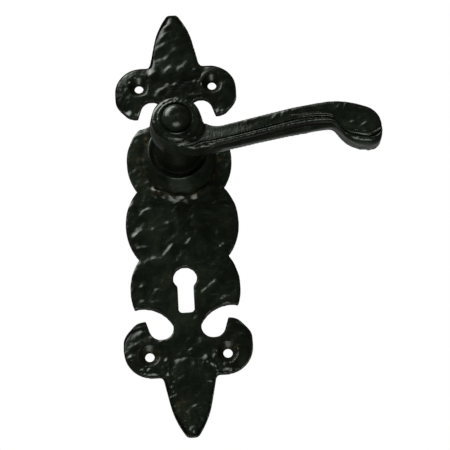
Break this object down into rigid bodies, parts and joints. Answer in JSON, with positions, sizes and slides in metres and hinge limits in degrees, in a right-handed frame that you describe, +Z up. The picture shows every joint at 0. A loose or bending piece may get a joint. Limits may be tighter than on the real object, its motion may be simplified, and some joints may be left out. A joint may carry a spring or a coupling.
{
  "type": "lever handle on a lever-lock backplate",
  "caption": "Black cast iron lever handle on an ornamental backplate with pointed leaf ends, curled lobes and a keyhole; the lever is sprung and turns a square spindle.",
  "frame": {"origin": "on the spindle's axis, in the plane of the backplate's back face", "axes": "+X along the lever at rest, +Y into the door, +Z up the backplate"},
  "size_m": [0.1178, 0.1184, 0.2048],
  "materials": {
    "black_iron": "hammered casting under worn black lacquer, with a little rust in the joints",
    "zinc_steel": "zinc-plated, slightly dull",
    "spring_steel": "drawn wire, oiled",
    "bronze": "turned bearing bronze",
    "nylon": "black nylon washer"
  },
  "bodies": {
    "plate": {"backplate": "black_iron", "boss_collar": "black_iron", "hub_bush": "bronze", "neck_washer": "nylon", "rest_stop_pin": "zinc_steel", "travel_stop_pin": "zinc_steel", "spring_anchor_pin": "zinc_steel", "return_spring": "spring_steel", "rear_cover": "zinc_steel", "cover_screw_1": "zinc_steel", "cover_screw_2": "zinc_steel", "cover_screw_3": "zinc_steel", "cover_screw_4": "zinc_steel"},
    "handle": {"lever": "black_iron", "front_cap": "black_iron", "spindle": "zinc_steel", "grub_screw": "spring_steel", "spring_cam": "zinc_steel", "circlip": "spring_steel", "thrust_washer": "zinc_steel"}
  },
  "joints": [
    {"name": "lever_turn", "type": "hinge", "parent": "plate", "child": "handle", "pos_m": [0, 0, 0], "axis": [0, 1, 0], "range_deg": [0, 40], "stiffness_Nm_per_rad": 0.6, "springref_deg": -45.84, "deforming": ["return_spring"]}
  ]
}
